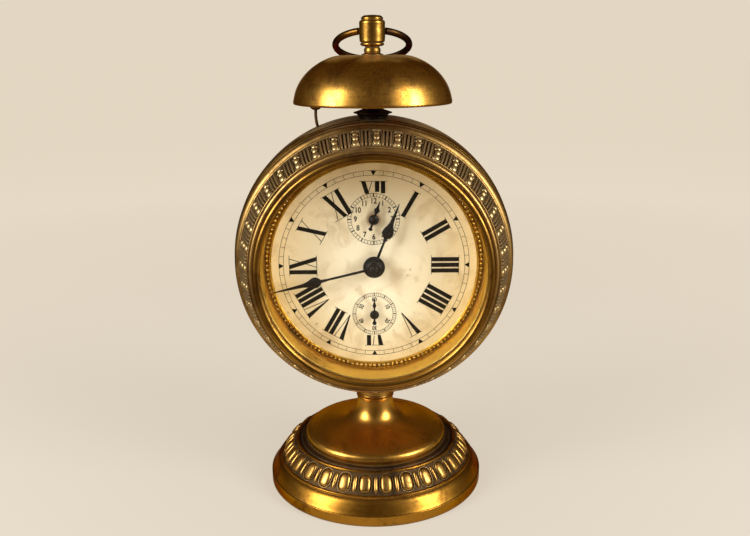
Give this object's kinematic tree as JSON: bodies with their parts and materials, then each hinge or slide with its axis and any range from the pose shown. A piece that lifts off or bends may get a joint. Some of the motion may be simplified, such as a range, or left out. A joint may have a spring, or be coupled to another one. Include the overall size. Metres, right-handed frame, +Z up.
{
  "type": "pedestal alarm clock",
  "caption": "Round brass alarm clock on a turned pedestal, with a bell, striking hammer and lifting ring on top and two small dials.",
  "frame": {"origin": "centre of the round foot, on the surface the clock stands on", "axes": "+Z up, the dial faces -Y, +X to the right of someone who reads the dial"},
  "size_m": [0.1246, 0.098, 0.2076],
  "materials": {
    "case_brass": "aged, lacquer worn, brown patina in the recesses",
    "movement_brass": "plain machined",
    "bright_steel": "drawn and turned",
    "key_brass": "turned and knurled, worn",
    "black_steel": "blackened, satin",
    "dark_steel": "browned wire and steel",
    "dial_print": "aged printed card, matt",
    "zinc": "plain sheet",
    "window_glass": "clear flat glass"
  },
  "bodies": {
    "case": {"base_plinth": "case_brass", "base_dome": "case_brass", "stem_rod": "bright_steel", "base_clamp_disc": "bright_steel", "stem_nuts": "bright_steel", "case_front": "case_brass", "case_drum": "case_brass", "stem_collar": "case_brass", "bezel": "case_brass", "crystal": "window_glass", "reflector": "case_brass", "dial_paper": "dial_print", "dial_plate": "zinc", "dial_feet": "movement_brass", "front_plate": "movement_brass", "back_plate": "movement_brass", "plate_pillars": "movement_brass", "front_plate_screws": "bright_steel", "back_cover_screws": "bright_steel", "time_mainspring": "bright_steel", "alarm_mainspring": "bright_steel", "hairspring": "bright_steel", "back_cover": "case_brass", "bell": "case_brass", "bell_post": "black_steel", "bell_stud": "bright_steel", "bell_stud_nut": "bright_steel", "finial_nut": "case_brass"},
    "minute_arbor": {"centre_arbor": "bright_steel", "centre_wheel": "movement_brass", "cannon_pinion": "movement_brass", "minute_hand": "black_steel", "time_set_knob": "key_brass"},
    "hour_pipe": {"hour_wheel": "movement_brass", "hour_hand": "black_steel"},
    "motion_wheel": {"minute_wheel": "movement_brass"},
    "third_arbor": {"third_wheel": "movement_brass"},
    "seconds_arbor": {"fourth_wheel": "movement_brass", "seconds_hand": "black_steel"},
    "escape_arbor": {"escape_wheel": "movement_brass"},
    "great_wheel_body": {"great_wheel": "movement_brass"},
    "alarm_release": {"alarm_release_wheel": "movement_brass"},
    "time_winder": {"time_winding_arbor": "bright_steel", "time_key": "key_brass"},
    "alarm_winder": {"alarm_winding_arbor": "bright_steel", "alarm_key": "key_brass"},
    "alarm_setter": {"alarm_arbor": "bright_steel", "alarm_cam": "movement_brass", "alarm_hand": "black_steel", "alarm_set_knob": "key_brass"},
    "alarm_great_body": {"alarm_great_wheel": "movement_brass"},
    "verge_arbor": {"alarm_verge_wheel": "movement_brass"},
    "lever_arbor": {"pallet_lever": "movement_brass"},
    "balance_staff": {"balance_wheel": "movement_brass"},
    "hammer": {"hammer_arbor": "bright_steel", "hammer_wire": "dark_steel", "hammer_head": "dark_steel"},
    "ring": {"lifting_ring": "case_brass"},
    "alarm_stop": {"alarm_stop_lever": "bright_steel"},
    "regulator": {"regulator_lever": "movement_brass"}
  },
  "joints": [
    {"name": "minute_turn", "type": "hinge", "parent": "case", "child": "minute_arbor", "pos_m": [0, 0, 0.104], "axis": [0, 1, 0], "continuous": true},
    {"name": "hour_turn", "type": "hinge", "parent": "case", "child": "hour_pipe", "pos_m": [0, 0, 0.104], "axis": [0, 1, 0], "continuous": true},
    {"name": "motion_wheel_turn", "type": "hinge", "parent": "case", "child": "motion_wheel", "pos_m": [0.01269, 0, 0.104], "axis": [0, 1, 0], "continuous": true},
    {"name": "third_turn", "type": "hinge", "parent": "case", "child": "third_arbor", "pos_m": [-0.01003, 0, 0.09128], "axis": [0, 1, 0], "continuous": true},
    {"name": "seconds_turn", "type": "hinge", "parent": "case", "child": "seconds_arbor", "pos_m": [0, 0, 0.0821], "axis": [0, 1, 0], "continuous": true},
    {"name": "escape_turn", "type": "hinge", "parent": "case", "child": "escape_arbor", "pos_m": [-0.01031, 0, 0.07615], "axis": [0, 1, 0], "continuous": true},
    {"name": "great_wheel_turn", "type": "hinge", "parent": "case", "child": "great_wheel_body", "pos_m": [0.02204, 0, 0.09178], "axis": [0, 1, 0], "continuous": true},
    {"name": "alarm_release_turn", "type": "hinge", "parent": "case", "child": "alarm_release", "pos_m": [0, 0, 0.1243], "axis": [0, 1, 0], "continuous": true},
    {"name": "time_winding_turn", "type": "hinge", "parent": "case", "child": "time_winder", "pos_m": [0.02204, 0, 0.09178], "axis": [0, 1, 0], "continuous": true},
    {"name": "alarm_winding_turn", "type": "hinge", "parent": "case", "child": "alarm_winder", "pos_m": [-0.025, 0, 0.116], "axis": [0, 1, 0], "continuous": true},
    {"name": "alarm_setting_turn", "type": "hinge", "parent": "case", "child": "alarm_setter", "pos_m": [0, 0, 0.1243], "axis": [0, 1, 0], "continuous": true},
    {"name": "alarm_great_turn", "type": "hinge", "parent": "case", "child": "alarm_great_body", "pos_m": [-0.025, 0, 0.116], "axis": [0, 1, 0], "continuous": true},
    {"name": "verge_turn", "type": "hinge", "parent": "case", "child": "verge_arbor", "pos_m": [-0.02205, 0, 0.13274], "axis": [0, 1, 0], "continuous": true},
    {"name": "lever_rock", "type": "hinge", "parent": "case", "child": "lever_arbor", "pos_m": [-0.01952, 0, 0.07744], "axis": [0, 1, 0], "range_deg": [-6, 6]},
    {"name": "balance_swing", "type": "hinge", "parent": "case", "child": "balance_staff", "pos_m": [-0.02942, 0, 0.07884], "axis": [0, 1, 0], "range_deg": [-135, 135], "stiffness_Nm_per_rad": 0.00001},
    {"name": "hammer_strike", "type": "hinge", "parent": "case", "child": "hammer", "pos_m": [-0.01346, 0, 0.13604], "axis": [0, -1, 0], "range_deg": [0, 5], "stiffness_Nm_per_rad": 0.02, "springref_deg": -8.59},
    {"name": "ring_swing", "type": "hinge", "parent": "case", "child": "ring", "pos_m": [0, 0, 0.2012], "axis": [1, 0, 0], "range_deg": [0, 224]},
    {"name": "alarm_stop_turn", "type": "hinge", "parent": "case", "child": "alarm_stop", "pos_m": [0.022, 0, 0.137], "axis": [0, 1, 0], "range_deg": [-40, 20]},
    {"name": "regulator_turn", "type": "hinge", "parent": "case", "child": "regulator", "pos_m": [-0.02942, 0, 0.07884], "axis": [0, 1, 0], "range_deg": [-12, 12]}
  ],
  "couplings": [
    {"joint": "minute_turn", "follows": "seconds_turn", "ratio": 0.016667},
    {"joint": "hour_turn", "follows": "seconds_turn", "ratio": 0.0013889},
    {"joint": "motion_wheel_turn", "follows": "seconds_turn", "ratio": -0.0055556},
    {"joint": "third_turn", "follows": "seconds_turn", "ratio": -0.13333},
    {"joint": "escape_turn", "follows": "seconds_turn", "ratio": -7.5},
    {"joint": "great_wheel_turn", "follows": "seconds_turn", "ratio": -0.0027778},
    {"joint": "alarm_release_turn", "follows": "seconds_turn", "ratio": -0.0013889},
    {"joint": "verge_turn", "follows": "alarm_great_turn", "ratio": -7.5}
  ]
}
